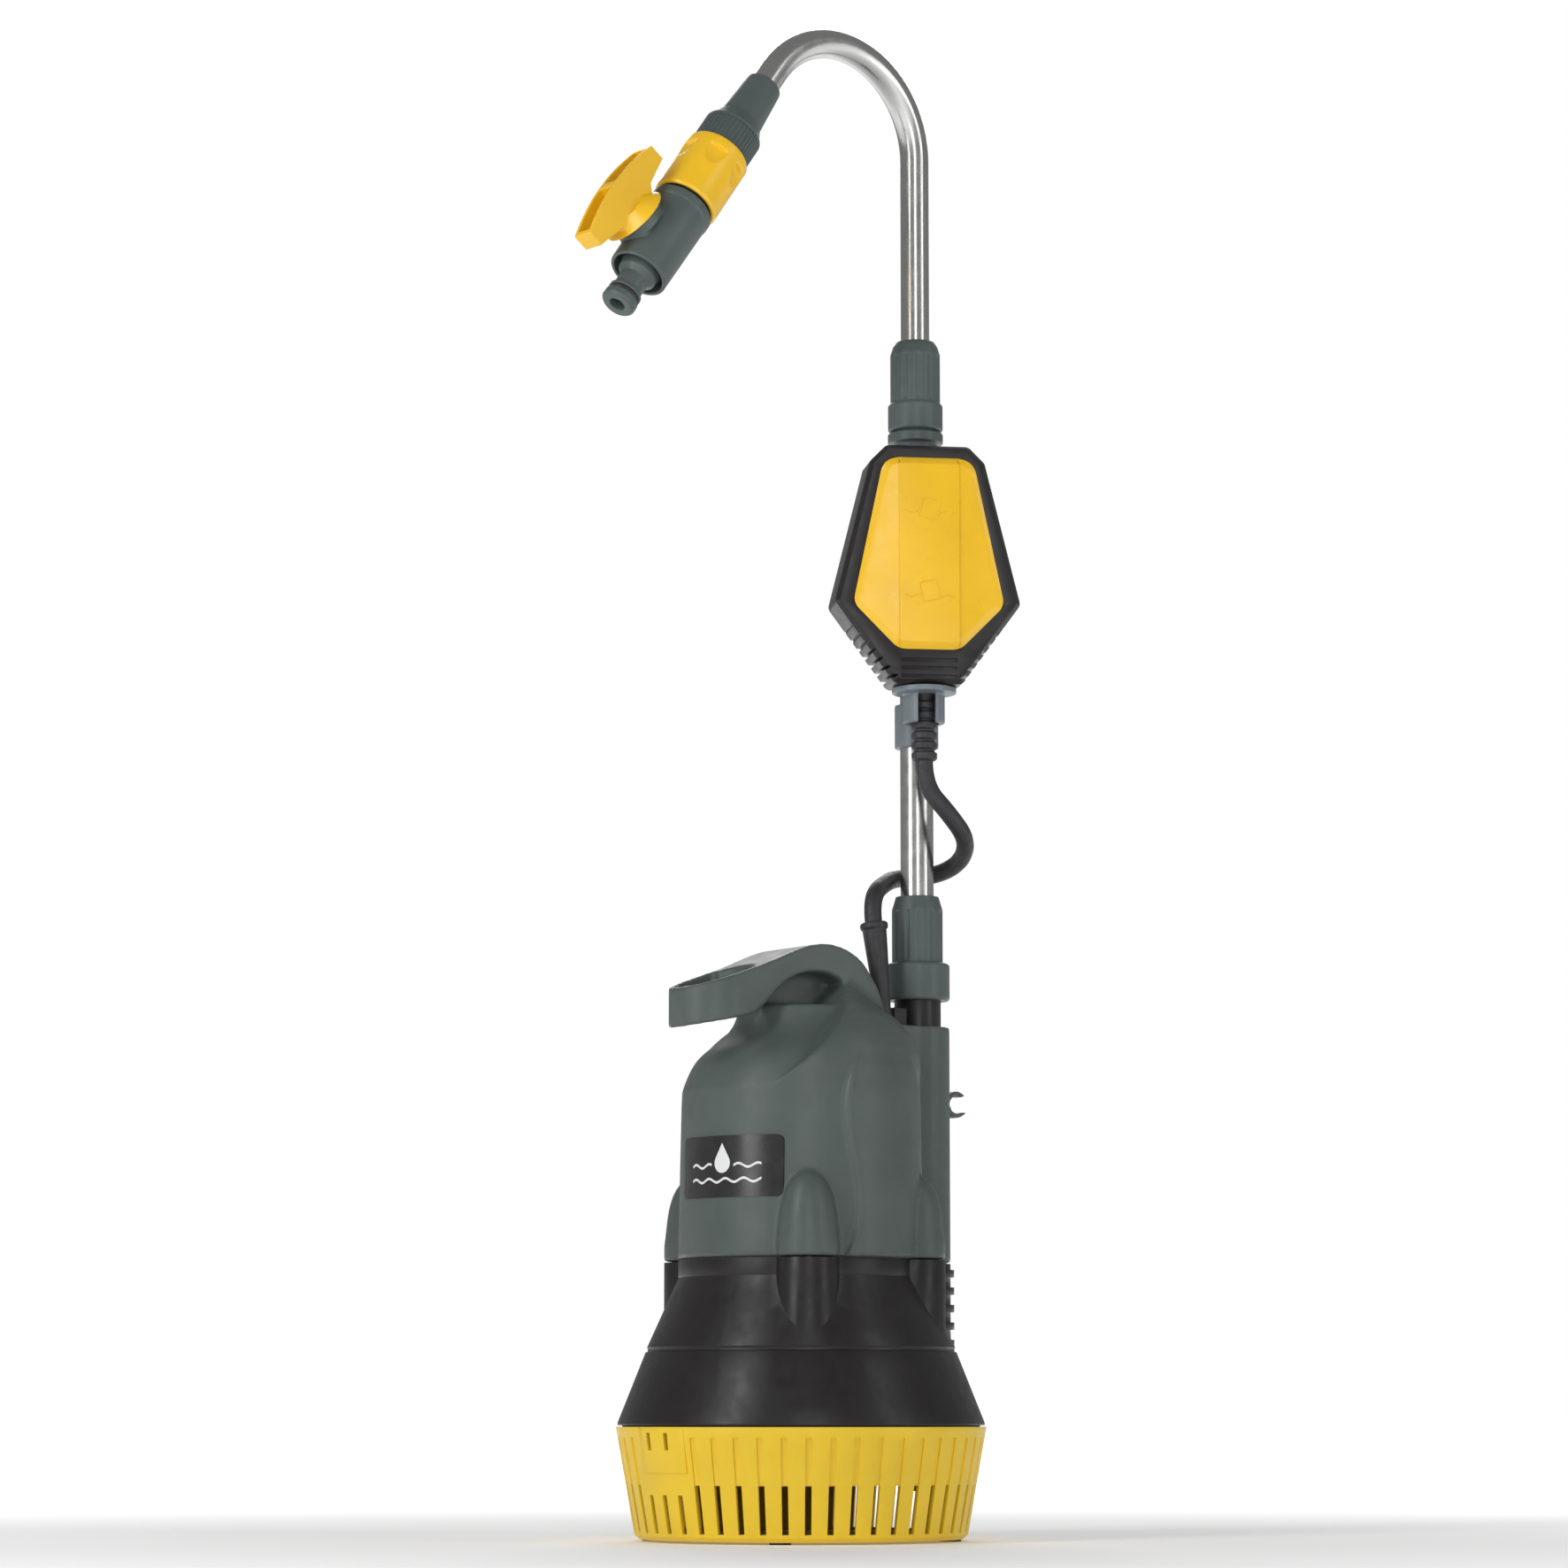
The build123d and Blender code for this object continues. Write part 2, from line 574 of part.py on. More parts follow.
# ---- telescopic upper tube with the spout bend -------------------------------
tube_low = 330.0
sleeve_start = 11.1
tube_end = 34.0
bend_foot = Vector(0, riser_y, bend_z)
bend_crown = bend_foot + spout_dir * (bend_r - bend_r * math.cos(turn / 2)) \
    + Vector(0, 0, bend_r * math.sin(turn / 2))
with BuildPart() as upper_tube:
    with BuildLine() as tube_path:
        Line((0, riser_y, tube_low), bend_foot)
        ThreePointArc(bend_foot, bend_crown, bend_end)
        Line(bend_end, bend_end + spout_axis * tube_end)
    with BuildSketch(Plane.XY.offset(tube_low)):
        with Locations((0, riser_y)):
            Circle(upper_tube_r)
            Circle(upper_tube_bore, mode=Mode.SUBTRACT)
    sweep(path=tube_path.line)
write(upper_tube, "upper_tube")

sleeve_end, knurl_end, collar_end = 38.4, 59.3, 94.1
turned_piece("spout_sleeve", spout, [
    (upper_tube_r, sleeve_start), (8.6, sleeve_start), (9.0, sleeve_start + 0.6), (10.9, sleeve_end),
    (10.9, 44.0), (9.0, 46.0), (9.0, 52.0), (upper_tube_r - 1.0, 52.0), (upper_tube_r - 1.0, tube_end),
    (upper_tube_r, tube_end),
])
knurl_r = 14.75
knurl_body = turned(spout, [
    (10.9 + fit, sleeve_end), (11.6, sleeve_end - 0.6), (13.2, 41.4), (knurl_r, 44.0), (knurl_r, knurl_end),
    (12.6, knurl_end), (12.6, 45.5), (10.9 + fit, 44.6),
])


def spout_plane(along):
    """A plane square to the spout axis, at a distance along it."""
    return Plane(origin=bend_end + spout_axis * along, x_dir=spout_out, z_dir=spout_axis)


with BuildPart() as knurled_ring:
    add(knurl_body)
    with BuildSketch(spout_plane(45.5)):
        with PolarLocations(knurl_r + 0.25, 44):
            Circle(0.8)
    extrude(amount=20.0, mode=Mode.SUBTRACT)
write(knurled_ring, "knurled_ring")

valve_start = 95.4
plug_r, plug_start = 7.0, 68.0
turned_piece("coupling_body", spout, [
    (9.0 + fit, 46.0), (12.5, 46.0), (12.5, 64.0), (12.5, 88.0), (13.6, 89.0), (13.6, 92.6),
    (10.6, 92.6), (10.6, 80.0), (plug_r + fit, 79.0), (plug_r + fit, 64.0), (6.0, 60.0), (6.0, 52.3),
    (9.0 + fit, 52.3),
])
turned_piece("coupling_seal", spout, [
    (plug_r + fit, 81.0), (9.0, 81.0), (10.5, 82.0), (10.5, 86.0), (9.0, 87.0), (plug_r + fit, 87.0),
])
turned_piece("coupling_spring", spout, [
    (12.7, 80.0), (13.5, 80.0), (13.5, 87.6), (12.7, 87.6),
])
collar_start = 59.6
dimple_count = 6
collar_body = turned(spout, [
    (15.1, collar_start), (15.6, collar_start), (16.0, collar_start + 0.8), (16.0, collar_end - 1.2),
    (15.2, collar_end), (14.0, collar_end), (14.0, 88.0), (14.0, 76.0), (12.9, 75.0),
    (12.9, 66.0), (15.1, 64.6),
])
with BuildPart() as coupling_collar:
    add(collar_body)
    with BuildSketch(spout_plane(72.0)):
        with PolarLocations(21.6, dimple_count, start_angle=30.0):
            Circle(7.0)
    extrude(amount=-7.5, mode=Mode.SUBTRACT)
write(coupling_collar, "coupling_collar")

# ---- tap: body, nipple, ball, stem, lever ------------------------------------
valve_end, lever_along = 140.8, 120.2
ball_r, ball_bore = 8.5, 4.6
stem_r, stem_top = 4.0, 17.8
lever_seat = Plane(origin=bend_end + spout_axis * lever_along, x_dir=spout_axis, z_dir=spout_out)
valve_shell = turned(spout, [
    (4.6, plug_start), (plug_r - 1.0, plug_start), (plug_r, plug_start + 1.0), (plug_r, 88.0),
    (9.4, 90.0), (9.4, valve_start), (14.4, valve_start), (15.5, valve_start + 1.0), (15.5, 100.0),
    (15.0, 101.0), (14.4, valve_end), (12.6, valve_end), (12.2, 133.5), (9.0 + fit, 133.5),
    (9.0 + fit, 108.0), (4.6, 106.0),
])
with BuildPart() as valve_body:
    add(valve_shell)
    with BuildSketch(lever_seat.offset(12.0)):
        Circle(12.5)
    extrude(amount=5.5)
    with BuildSketch(lever_seat):
        Circle(9.0 + fit)
    extrude(amount=13.0, mode=Mode.SUBTRACT)
    with BuildSketch(lever_seat.offset(12.0)):
        Circle(stem_r + fit)
    extrude(amount=20.0, mode=Mode.SUBTRACT)
    with BuildSketch(lever_seat.offset(-11.0)):
        with Locations((5.0, 0)):
            Rectangle(4.6, 4.6)
    extrude(amount=-20.0, mode=Mode.SUBTRACT)
write(valve_body, "valve_body")

seat_rings = [
    turned(spout, [(4.6, 108.4), (9.0, 108.4), (9.0, 112.4), (7.2, 112.4), (4.6, 111.0)]),
    turned(spout, [(4.6, 130.6), (9.0, 130.6), (9.0, 128.0), (7.2, 128.0), (4.6, 129.4)]),
]
with BuildPart() as valve_seats:
    add(seat_rings)
write(valve_seats, "valve_seats")

nipple_tip = 161.5
turned_piece("valve_nipple", spout, [
    (ball_bore, 130.9), (9.0, 130.9), (9.0, 133.5), (12.0, 133.7), (11.0, 135.5), (10.4, 136.5),
    (9.6, 142.0), (7.2, 144.5), (7.0, 150.0), (7.0, 152.6), (8.2, 153.0), (8.2, 154.6), (6.7, 154.7),
    (6.7, 156.9), (8.5, 157.0), (8.5, 160.3), (7.4, nipple_tip), (3.9, nipple_tip), (3.9, 150.0),
])
turned_piece("nipple_o_ring", spout, [
    (6.7, 154.8), (7.9, 154.8), (8.2, 155.8), (7.9, 156.8), (6.7, 156.8),
])
with BuildPart() as valve_ball:
    with Locations(lever_seat.location):
        Sphere(ball_r - 0.1)
    with BuildSketch(spout_plane(lever_along - 12.0)):
        Circle(ball_bore)
    extrude(amount=24.0, mode=Mode.SUBTRACT)
    with BuildSketch(lever_seat.offset(6.6)):
        Circle(20.0)
    extrude(amount=10.0, mode=Mode.SUBTRACT)
write(valve_ball, "valve_ball")

with BuildPart() as valve_stem:
    with BuildSketch(lever_seat.offset(6.6)):
        Circle(stem_r)
    extrude(amount=stem_top + 3.0 - 6.6)
write(valve_stem, "valve_stem")

wing_low, wing_high = -30.5, 29.4
with BuildPart() as valve_lever:
    with BuildSketch(lever_seat.offset(stem_top)):
        Circle(16.2)
    with BuildSketch(lever_seat.offset(stem_top + 5.5)):
        Circle(9.0)
    loft()
    with BuildSketch(Plane(origin=lever_seat.origin, x_dir=spout_axis, z_dir=lever_seat.y_dir)):
        with BuildLine():
            ThreePointArc((wing_low, -33.5), (0, -38.2), (wing_high, -34.5))
            Polyline((wing_high, -34.5), (wing_high, -26.0), (13.0, -22.0), (13.0, -19.0), (-12.0, -19.0),
                     (-16.0, -23.0), (wing_low, -25.0), (wing_low, -33.5))
        make_face()
    extrude(amount=6.0, both=True)
    with BuildSketch(lever_seat.offset(31.0)):
        with Locations((-15.2, 0), (14.2, 0)):
            Rectangle(25.6, 8.4)
    extrude(amount=10.0, mode=Mode.SUBTRACT)
    with BuildSketch(lever_seat.offset(stem_top)):
        Circle(stem_r)
    extrude(amount=3.0, mode=Mode.SUBTRACT)
write(valve_lever, "valve_lever")

# ---- float switch --------------------------------------------------------------
float_heading = 63.0
float_reach = 22.0
float_out = heading(float_heading)
float_axis = Vector(0, riser_y, 0) + float_out * float_reach
float_face = Plane(origin=float_axis, x_dir=heading(float_heading + 90), z_dir=float_out)
float_low, float_wide, float_top = 405.7, 445.0, 522.0
float_back, float_front = 11.0, 15.5
outline = [
    (-16.5, float_low), (16.5, float_low), (45.2, float_wide), (28.0, 514.0), (20.0, float_top),
    (-20.0, float_top), (-28.0, 514.0), (-45.2, float_wide),
]
cover_outline = [
    (-15.0, 422.0), (15.0, 422.0), (36.8, 444.0), (22.5, 512.0), (17.0, 515.5),
    (-17.0, 515.5), (-22.5, 512.0), (-36.8, 444.0),
]


def plate(face, points, rounding):
    """A rounded outline on the float's face plane."""
    with BuildSketch(face) as sketch:
        with BuildLine():
            Polyline(*points, close=True)
        make_face()
        offset(amount=-rounding, kind=Kind.INTERSECTION, mode=Mode.REPLACE)
        offset(amount=rounding, mode=Mode.REPLACE)
    return sketch.sketch


float_wall, bevel = 3.0, 3.0
inner_outline = [(x * 0.88, float_low + 4 + (z - float_low) * 0.93) for x, z in outline]
float_rib_pitch, float_rib_count, groove_wide = 4.0, 8, 1.6
with BuildPart() as float_frame:
    extrude(plate(float_face.offset(-float_back), outline, 4.0), amount=float_back + float_front - bevel)
    extrude(plate(float_face.offset(float_front - bevel), outline, 4.0), amount=bevel, taper=35.0)
    with BuildSketch(float_face.offset(-float_back + float_wall)):
        with BuildLine():
            Polyline(*inner_outline, close=True)
        make_face()
    extrude(amount=float_back + float_front - 2 * float_wall, mode=Mode.SUBTRACT)
    front_window = plate(float_face.offset(float_front - float_wall - 1), cover_outline, 3.0)
    extrude(front_window, amount=12.0, mode=Mode.SUBTRACT)
    back_window = plate(float_face.offset(-float_back + float_wall + 1), cover_outline, 3.0)
    extrude(back_window, amount=-12.0, mode=Mode.SUBTRACT)
    with BuildSketch(float_face.offset(-30.0)):
        for level in range(float_rib_count):
            groove_x = 47.0 - 3.6 * level
            groove_z = 437.0 - float_rib_pitch * level
            with Locations((groove_x, groove_z), (-groove_x, groove_z)):
                Rectangle(14.0, groove_wide)
    extrude(amount=60.0, mode=Mode.SUBTRACT)
    with BuildSketch(float_face.offset(float_front - 1.8)):
        with Locations((0, 409.0), (0, 413.0), (0, 417.0)):
            Rectangle(27.0, groove_wide)
    extrude(amount=5.0, mode=Mode.SUBTRACT)
    with Locations((float_axis.X, float_axis.Y, float_low)):
        Cylinder(6.5, 24.0, mode=Mode.SUBTRACT)
write(float_frame, "float_frame")

cover_seat = float_front - float_wall - 1
with BuildPart() as float_front_cover:
    extrude(plate(float_face.offset(cover_seat), cover_outline, 3.0), amount=float_front - cover_seat)
    extrude(plate(float_face.offset(float_front), cover_outline, 3.0), amount=3.0, taper=45.0)
write(float_front_cover, "float_front_cover")

with BuildPart() as float_back_cover:
    extrude(plate(float_face.offset(-float_back), cover_outline, 3.0), amount=float_wall + 1)
write(float_back_cover, "float_back_cover")

with BuildPart() as float_seal:
    extrude(plate(float_face.offset(cover_seat - 1.0), cover_outline, 3.0), amount=1.0)
    with BuildSketch(float_face.offset(cover_seat - 1.0)):
        with BuildLine():
            Polyline(*[(x * 0.9, 466.0 + (z - 466.0) * 0.93) for x, z in cover_outline], close=True)
        make_face()
    extrude(amount=1.0, mode=Mode.SUBTRACT)
write(float_seal, "float_seal")

float_spine = turning_plane(float_axis, (0, 0, 1), float_out)
turned_piece("ball_channel", float_spine, [
    (0, 436.0), (6.9, 436.0), (6.9, 464.0), (6.4, 464.0), (6.4, 437.5), (0, 437.5),
])
with BuildPart() as switch_ball:
    with Locations((float_axis.X, float_axis.Y, 443.6)):
        Sphere(6.0)
write(switch_ball, "switch_ball")

with BuildPart() as micro_switch:
    with BuildSketch(float_face.offset(-5.0)):
        with Locations((0, 472.0)):
            Rectangle(20.0, 10.0)
        with Locations((3.0, 465.9)):
            Rectangle(11.0, 0.8)
        with Locations((8.0, 466.6)):
            Rectangle(1.0, 1.2)
    extrude(amount=8.0)
write(micro_switch, "micro_switch")

# ---- strain relief, holder, gland pieces and the float's cable ---------------
relief_low, relief_ring, relief_count = 370.0, 4.9, 6
relief_outline = [(0, relief_low), (5.2, relief_low)]
for level in range(relief_count):
    foot = relief_low + 0.6 + relief_ring * level
    relief_outline += [(6.2, foot + 0.4), (6.2, foot + 3.2), (5.0, foot + 3.6), (5.0, foot + 4.6)]
relief_outline += [(6.5, 402.0), (6.5, 414.0), (0, 414.0)]
turned_piece("float_cable_relief", float_spine, relief_outline)

holder_body = turned(float_spine, [
    (6.9, 388.0), (9.6, 388.0), (10.0, 388.6), (10.0, 402.2), (15.5, 402.6), (15.5, 405.3), (6.9, 405.3),
])
clip_low, clip_high = 379.0, 400.0
with BuildPart() as float_holder:
    add(holder_body)
    with BuildSketch(Plane.XY.offset(clip_low)):
        with Locations((0, riser_y)):
            Circle(lower_tube_r + 2.6)
    extrude(amount=clip_high - clip_low)
    with BuildSketch(Plane(origin=Vector(0, riser_y, 388.0), x_dir=float_out, z_dir=(0, 0, 1))):
        with Locations((float_reach / 2, 0)):
            Rectangle(14.0, 6.0)
    extrude(amount=clip_high - 388.0)
    with Locations((float_axis.X, float_axis.Y, relief_low)):
        Cylinder(6.9, 50.0, mode=Mode.SUBTRACT, align=(Align.CENTER, Align.CENTER, Align.MIN))
    with Locations((0, riser_y, clip_low - 1)):
        Cylinder(lower_tube_r, 50.0, mode=Mode.SUBTRACT, align=(Align.CENTER, Align.CENTER, Align.MIN))
    with BuildSketch(Plane(origin=Vector(0, riser_y, clip_low), x_dir=float_out, z_dir=(0, 0, 1))):
        with Locations((-12.0, 0)):
            Rectangle(16.0, 9.0)
        with Locations((float_reach + 9.0, 0)):
            Rectangle(10.0, 8.5)
    extrude(amount=402.0 - clip_low, mode=Mode.SUBTRACT)
write(float_holder, "float_holder")

sleeve_foot, sleeve_long = Vector(8.0, 43.5, shell_top), 49.6
sleeve_lean = Vector(-5.5, -2.5, 49.0).normalized()
sleeve_mouth = sleeve_foot + sleeve_lean * sleeve_long
sleeve_out = Vector(49.0, 0, 5.5).normalized()
sleeve_body = turned(turning_plane(sleeve_foot, sleeve_lean, sleeve_out), [
    (0, -2.0), (3.6, -2.0), (3.7, 8.0), (5.3, 36.0), (5.8, 46.0), (6.7, 46.8),
    (6.7, 48.8), (6.0, sleeve_long), (0, sleeve_long),
])
with BuildPart() as cable_sleeve:
    add(sleeve_body)
    split(bisect_by=Plane.XY.offset(shell_top), keep=Keep.TOP)
write(cable_sleeve, "cable_sleeve")
gland_plane = turning_plane((*gland_at, 0), (0, 0, 1), (1, 0, 0))
turned_piece("mains_gland", gland_plane, [
    (0, shell_top), (gland_r, shell_top), (gland_r, 247.0), (4.4, 247.6), (4.2, 254.0), (3.2, 255.0),
    (3.2, 248.0), (0, 248.0),
])

cable_route = [
    (float_axis.X, float_axis.Y, relief_low),
    (float_axis.X, float_axis.Y, 358.0),
    (25.2, 69.1, 345.0),
    (23.3, 82.0, 333.0),
    (7.9, 89.7, 324.0),
    (-9.6, 87.3, 319.0),
    (-19.5, 74.0, 318.0),
    (-12.0, 60.0, 315.0),
    tuple(sleeve_mouth + sleeve_lean * 13.0),
    tuple(sleeve_mouth),
]


def corner_radii(points):
    """A cord's arc at each corner, as large as its two runs allow."""
    radii = []
    for before, here, after in zip(points, points[1:], points[2:]):
        run_in = Vector(*here) - Vector(*before)
        run_out = Vector(*after) - Vector(*here)
        half_turn = math.radians(run_in.get_angle(run_out)) / 2
        shorter = min(run_in.length, run_out.length)
        radii.append(0.45 * shorter / math.tan(half_turn))
    return radii


cable_radii = corner_radii(cable_route)
with BuildPart() as float_cable:
    with BuildLine() as cable_path:
        FilletPolyline(*cable_route, radius=cable_radii)
    with BuildSketch(Plane(origin=cable_path.line @ 0, z_dir=cable_path.line % 0)):
        Circle(cable_r)
    sweep()
write(float_cable, "float_cable")
print("cable radii", [round(r, 1) for r in cable_radii])
print("cable length", round(cable_path.wire().length, 1))
print("cable volume / (section x length)",
      round(float_cable.part.volume / (math.pi * cable_r ** 2 * cable_path.wire().length), 4))
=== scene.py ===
"""Looks of the submersible rain-barrel pump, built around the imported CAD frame.

Profiles are in millimetres and turn into metres through the matrices that place
them. The pump's front is -Y, the riser stands behind the motor at +Y.
"""
import json
import math
import bmesh
import bpy
from mathutils import Matrix, Vector


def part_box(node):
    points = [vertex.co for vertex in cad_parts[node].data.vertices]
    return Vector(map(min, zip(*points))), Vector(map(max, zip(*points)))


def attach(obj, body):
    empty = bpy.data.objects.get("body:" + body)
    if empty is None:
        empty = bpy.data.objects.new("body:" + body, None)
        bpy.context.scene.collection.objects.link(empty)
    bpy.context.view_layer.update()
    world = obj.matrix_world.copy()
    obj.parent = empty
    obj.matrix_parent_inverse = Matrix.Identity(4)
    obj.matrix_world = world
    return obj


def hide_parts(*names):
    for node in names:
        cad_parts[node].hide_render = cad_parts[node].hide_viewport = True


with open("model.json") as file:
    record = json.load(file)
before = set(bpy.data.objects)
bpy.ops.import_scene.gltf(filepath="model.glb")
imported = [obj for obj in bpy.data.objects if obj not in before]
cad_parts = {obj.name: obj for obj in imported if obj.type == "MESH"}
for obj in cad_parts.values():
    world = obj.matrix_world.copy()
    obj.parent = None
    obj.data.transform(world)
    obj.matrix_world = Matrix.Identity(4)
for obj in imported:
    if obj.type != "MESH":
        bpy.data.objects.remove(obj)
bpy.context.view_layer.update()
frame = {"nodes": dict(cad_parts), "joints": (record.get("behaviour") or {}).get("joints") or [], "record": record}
scene = bpy.context.scene
scene.view_settings.view_transform = "Standard"
MM = 0.001

# ---- places read from the frame ---------------------------------------------
joints = {j["name"]: j for j in frame["joints"]}


def box_centre(node):
    """Middle of a CAD node's box."""
    low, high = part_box(node)
    return (Vector(low) + Vector(high)) / 2


def place(origin, along, out):
    """Matrix from millimetres about an axis to the row frame: z along it, x out."""
    along = Vector(along).normalized()
    out = Vector(out)
    out = (out - along * along.dot(out)).normalized()
    turn = Matrix((out, along.cross(out), along)).transposed().to_4x4()
    return Matrix.Translation(origin) @ turn @ Matrix.Scale(MM, 4)


lever_joint = joints["tap_lever"]
spout_axis = Vector(joints["tap_swivel"]["axis"]).normalized()
spout_out = Vector(lever_joint["axis"]).normalized()
lever_along = 120.2
spout_origin = Vector(lever_joint["pos_m"]) - spout_axis * lever_along * MM
spout_place = place(spout_origin, spout_axis, spout_out)
spout_turn = spout_place.to_quaternion().to_matrix().to_4x4()

# ---- camera --------------------------------------------------------------------
view_turn = math.radians(55.0)
to_camera = Vector((math.sin(view_turn), -math.cos(view_turn), 0))
to_right = Vector((math.cos(view_turn), math.sin(view_turn), 0))
camera_reach, camera_height = 2.20, 0.058
aim_right, aim_height = -0.008, 0.3565
aim = to_right * aim_right + Vector((0, 0, aim_height))
frame_height = 0.748
eye = to_right * aim_right + to_camera * camera_reach + Vector((0, 0, camera_height))
camera = bpy.data.objects.new("camera", bpy.data.cameras.new("camera"))
scene.collection.objects.link(camera)
camera.location = eye
camera.rotation_mode = "QUATERNION"
camera.rotation_quaternion = (aim - eye).to_track_quat("-Z", "Y")
camera.data.sensor_width = 36.0
camera.data.lens = camera.data.sensor_width * (aim - eye).length / frame_height
camera.data.clip_start, camera.data.clip_end = 0.05, 50.0
scene.camera = camera


# ---- materials -----------------------------------------------------------------
def srgb(r, g, b):
    """Linear colour from sRGB values out of 255."""
    return tuple(
        (c / 255 / 12.92 if c / 255 <= 0.04045 else ((c / 255 + 0.055) / 1.055) ** 2.4)
        for c in (r, g, b)
    )


class Nodes:
    """A material's node tree with a few shorthands."""

    def __init__(self, name):
        self.material = bpy.data.materials.new(name)
        self.material.use_nodes = True
        self.tree = self.material.node_tree
        self.shader = self.tree.nodes["Principled BSDF"]
        self.coords = self.add("ShaderNodeTexCoord").outputs["Object"]

    def add(self, kind, **settings):
        node = self.tree.nodes.new(kind)
        for key, value in settings.items():
            setattr(node, key, value)
        return node

    def link(self, source, target):
        self.tree.links.new(source, target)

    def stretched(self, scale):
        """Object coordinates, scaled along each axis."""
        node = self.add("ShaderNodeMapping")
        node.inputs["Scale"].default_value = scale
        self.link(self.coords, node.inputs["Vector"])
        return node.outputs["Vector"]

    def noise(self, scale, detail=3.0, vector=None):
        node = self.add("ShaderNodeTexNoise")
        node.inputs["Scale"].default_value = scale
        node.inputs["Detail"].default_value = detail
        self.link(vector or self.coords, node.inputs["Vector"])
        return node.outputs["Fac"]

    def ramp(self, source, low, high, at=(0.3, 0.7)):
        """Colours or greys spread over a value."""
        node = self.add("ShaderNodeValToRGB")
        for stop, place_, value in zip(node.color_ramp.elements, at, (low, high)):
            stop.position = place_
            stop.color = (*value, 1) if isinstance(value, tuple) else (value, value, value, 1)
        self.link(source, node.inputs["Fac"])
        return node.outputs["Color"]

    def bump(self, source, strength, distance, before=None):
        node = self.add("ShaderNodeBump")
        node.inputs["Strength"].default_value = strength
        node.inputs["Distance"].default_value = distance
        self.link(source, node.inputs["Height"])
        if before:
            self.link(before, node.inputs["Normal"])
        return node.outputs["Normal"]


def shade(colour, factor):
    """A colour made lighter or darker."""
    return tuple(min(1.0, c * factor) for c in colour)


def plastic(name, colour, rough=(0.38, 0.5), depth=0.12, tone=0.10, coat=0.0, shine=0.5):
    """Moulded plastic: fine spark-eroded grain, slow tone drift, soft flow marks."""
    m = Nodes(name)
    drift = m.ramp(m.noise(34.0, 4.0), shade(colour, 1 - tone), shade(colour, 1 + tone))
    m.link(drift, m.shader.inputs["Base Color"])
    m.link(m.ramp(m.noise(120.0, 5.0), rough[0], rough[1]), m.shader.inputs["Roughness"])
    flow = m.bump(m.noise(90.0, 2.0), 0.10, 0.0004)
    m.link(m.bump(m.noise(2600.0, 2.0), depth, 0.00012, flow), m.shader.inputs["Normal"])
    m.shader.inputs["Specular IOR Level"].default_value = shine
    m.shader.inputs["Coat Weight"].default_value = coat
    m.shader.inputs["Coat Roughness"].default_value = 0.25
    return m.material


def rubber(name, colour):
    """Soft black rubber or cable sheath, with a dusty bloom."""
    m = Nodes(name)
    bloom = m.ramp(m.noise(160.0, 5.0), shade(colour, 0.8), shade(colour, 1.35))
    m.link(bloom, m.shader.inputs["Base Color"])
    m.link(m.ramp(m.noise(420.0, 3.0), 0.42, 0.62), m.shader.inputs["Roughness"])
    m.link(m.bump(m.noise(1900.0, 3.0), 0.16, 0.00015), m.shader.inputs["Normal"])
    return m.material


def drawn_metal(name, colour, rough=(0.14, 0.26), scale=(900.0, 900.0, 14.0)):
    """Machined or drawn metal: hair lines that run one way."""
    m = Nodes(name)
    lines = m.noise(1.0, 4.0, m.stretched(scale))
    m.link(m.ramp(lines, shade(colour, 0.9), colour), m.shader.inputs["Base Color"])
    m.link(m.ramp(lines, rough[0], rough[1]), m.shader.inputs["Roughness"])
    m.link(m.bump(lines, 0.06, 0.00005), m.shader.inputs["Normal"])
    m.shader.inputs["Metallic"].default_value = 1.0
    return m.material


def satin_tube(name, colour):
    """Bent aluminium tube: satin, with faint handling marks."""
    m = Nodes(name)
    marks = m.noise(45.0, 3.0)
    m.link(m.ramp(marks, shade(colour, 0.94), colour), m.shader.inputs["Base Color"])
    m.link(m.ramp(m.noise(160.0, 5.0), 0.20, 0.29), m.shader.inputs["Roughness"])
    m.link(m.bump(m.noise(70.0, 2.0), 0.012, 0.0001), m.shader.inputs["Normal"])
    m.shader.inputs["Metallic"].default_value = 1.0
    return m.material


GREEN = srgb(78, 87, 84)
GREEN_DARK = srgb(77, 87, 86)
BLACK = srgb(31, 28, 29)
YELLOW = srgb(240, 202, 40)
YELLOW_WARM = srgb(229, 181, 26)
materials = {
    "strainer_yellow": plastic("strainer_yellow", YELLOW, (0.36, 0.48), depth=0.10, tone=0.05),
    "shell_green": plastic("shell_green", GREEN, (0.36, 0.50), depth=0.16, shine=0.36),
    "housing_black": plastic("housing_black", BLACK, (0.30, 0.44), depth=0.14, shine=0.36),
    "fitting_green": plastic("fitting_green", GREEN_DARK, (0.34, 0.48), depth=0.14, shine=0.36),
    "coupling_yellow": plastic("coupling_yellow", YELLOW_WARM, (0.26, 0.36), depth=0.06, tone=0.05,
                               coat=0.05),
    "holder_grey": plastic("holder_grey", srgb(104, 113, 120), (0.34, 0.46)),
    "label_black": plastic("label_black", srgb(24, 22, 23), (0.22, 0.32), depth=0.05, coat=0.3),
    "tube_aluminium": satin_tube("tube_aluminium", (0.50, 0.50, 0.49)),
    "steel": drawn_metal("steel", (0.62, 0.62, 0.63), (0.25, 0.4)),
    "brass": drawn_metal("brass", (0.80, 0.62, 0.30), (0.22, 0.36)),
    "seal_rubber": rubber("seal_rubber", srgb(30, 29, 30)),
    "cable_black": rubber("cable_black", srgb(38, 38, 41)),
    "inner_plastic": plastic("inner_plastic", srgb(120, 122, 120)),
    "iron_core": drawn_metal("iron_core", (0.34, 0.34, 0.36), (0.4, 0.6), (40.0, 40.0, 2400.0)),
    "copper_winding": drawn_metal("copper_winding", (0.72, 0.36, 0.16), (0.3, 0.5),
                                  (60.0, 60.0, 1500.0)),
}

